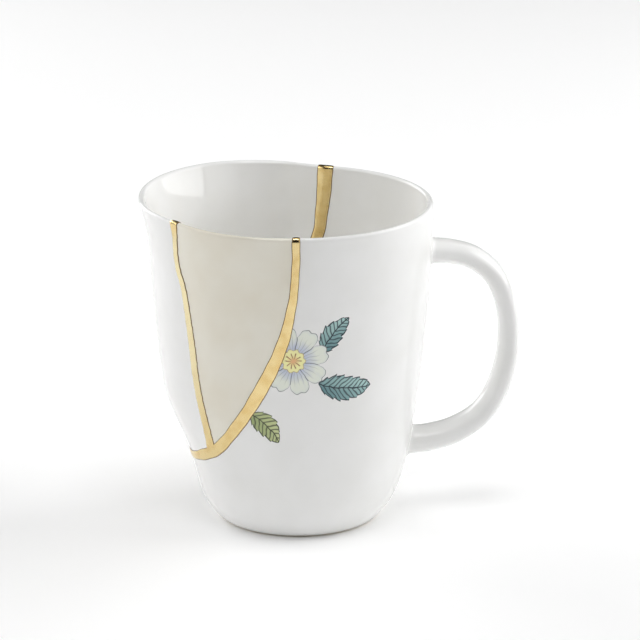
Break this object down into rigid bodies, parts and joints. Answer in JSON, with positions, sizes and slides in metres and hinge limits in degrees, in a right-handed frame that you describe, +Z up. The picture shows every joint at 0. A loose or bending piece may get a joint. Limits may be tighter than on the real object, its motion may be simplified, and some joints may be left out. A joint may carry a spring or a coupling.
{
  "type": "kintsugi mug",
  "caption": "Porcelain mug with a loop handle, put together again from shards along wide gold seams, with a small painted blossom spray.",
  "frame": {"origin": "the middle of the whole mug's outline, on the table", "axes": "+Z up, +X from the cup towards the handle, so -Y is the side with the blossom and the front seam"},
  "size_m": [0.1166, 0.0876, 0.1008],
  "materials": {
    "white_porcelain": "white porcelain under a clear gloss glaze, with a painted blossom spray, bare on the foot ring",
    "ivory_porcelain": "slightly warmer, ivory porcelain under a clear gloss glaze",
    "shard_porcelain": "white porcelain under a clear gloss glaze",
    "gold": "bright gold laid by hand over lacquer, lightly uneven"
  },
  "bodies": {
    "root": {"mug_body": "white_porcelain", "front_shard": "ivory_porcelain", "side_shard": "shard_porcelain", "gold_seam": "gold"}
  },
  "joints": []
}
